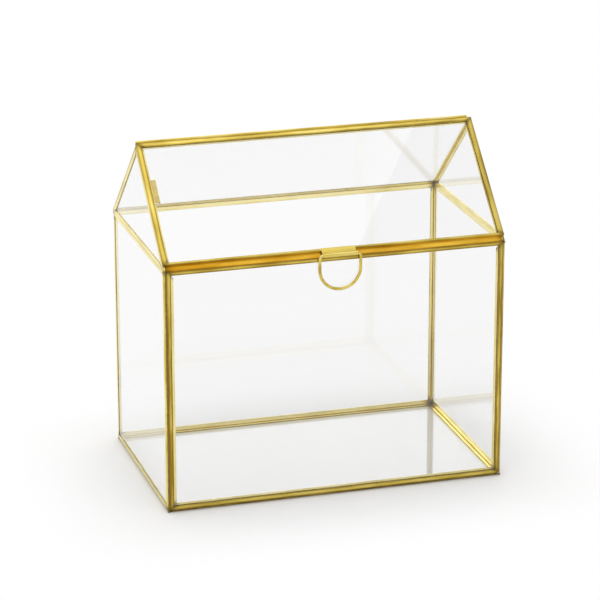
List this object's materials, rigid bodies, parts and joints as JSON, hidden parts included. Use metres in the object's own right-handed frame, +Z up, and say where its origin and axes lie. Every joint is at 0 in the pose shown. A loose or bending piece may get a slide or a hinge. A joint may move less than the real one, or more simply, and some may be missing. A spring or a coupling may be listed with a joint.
{
  "type": "wedding card box",
  "caption": "Clear glass card box shaped like a gabled house, in a soldered brass channel frame, with a front roof slope that opens on a ridge hinge by a D-ring pull.",
  "frame": {"origin": "middle of the base, on the plane that the box stands on", "axes": "+X along the ridge to the right as seen from the front, +Y to the back, +Z up"},
  "size_m": [0.25, 0.1555, 0.2512],
  "materials": {
    "brass": "polished brass sheet and wire, lightly toned",
    "clear_glass": "clear float glass"
  },
  "bodies": {
    "box": {"back_eave_solder_seam": "brass", "back_roof_bottom_channel": "brass", "back_roof_glass": "clear_glass", "back_roof_left_channel": "brass", "back_roof_right_channel": "brass", "back_roof_top_channel": "brass", "back_wall_bottom_channel": "brass", "back_wall_glass": "clear_glass", "back_wall_left_channel": "brass", "back_wall_right_channel": "brass", "back_wall_top_channel": "brass", "base_back_channel": "brass", "base_front_channel": "brass", "base_glass": "clear_glass", "base_left_channel": "brass", "base_right_channel": "brass", "base_solder_seams": "brass", "door_rest_tab": "brass", "door_sill": "brass", "front_wall_bottom_channel": "brass", "front_wall_glass": "clear_glass", "front_wall_left_channel": "brass", "front_wall_right_channel": "brass", "front_wall_top_channel": "brass", "hinge_pin": "brass", "left_gable_back_channel": "brass", "left_gable_bottom_channel": "brass", "left_gable_front_channel": "brass", "left_gable_glass": "clear_glass", "left_hinge_knuckle": "brass", "left_wall_back_channel": "brass", "left_wall_bottom_channel": "brass", "left_wall_front_channel": "brass", "left_wall_glass": "clear_glass", "left_wall_top_channel": "brass", "post_solder_seams": "brass", "right_gable_back_channel": "brass", "right_gable_bottom_channel": "brass", "right_gable_front_channel": "brass", "right_gable_glass": "clear_glass", "right_hinge_knuckle": "brass", "right_wall_back_channel": "brass", "right_wall_bottom_channel": "brass", "right_wall_front_channel": "brass", "right_wall_glass": "clear_glass", "right_wall_top_channel": "brass"},
    "door": {"door_bottom_channel": "brass", "door_glass": "clear_glass", "door_hinge_knuckle": "brass", "door_left_channel": "brass", "door_right_channel": "brass", "door_top_channel": "brass", "pull_strap": "brass"},
    "pull": {"pull_ring": "brass"}
  },
  "joints": [
    {"name": "door_hinge", "type": "hinge", "parent": "box", "child": "door", "pos_m": [0, 0.00259, 0.25007], "axis": [-1, 0, 0], "range_deg": [0, 210]},
    {"name": "pull_swing", "type": "hinge", "parent": "door", "child": "pull", "pos_m": [0.0015, -0.0777, 0.18056], "axis": [-1, 0, 0], "range_deg": [0, 225]}
  ]
}
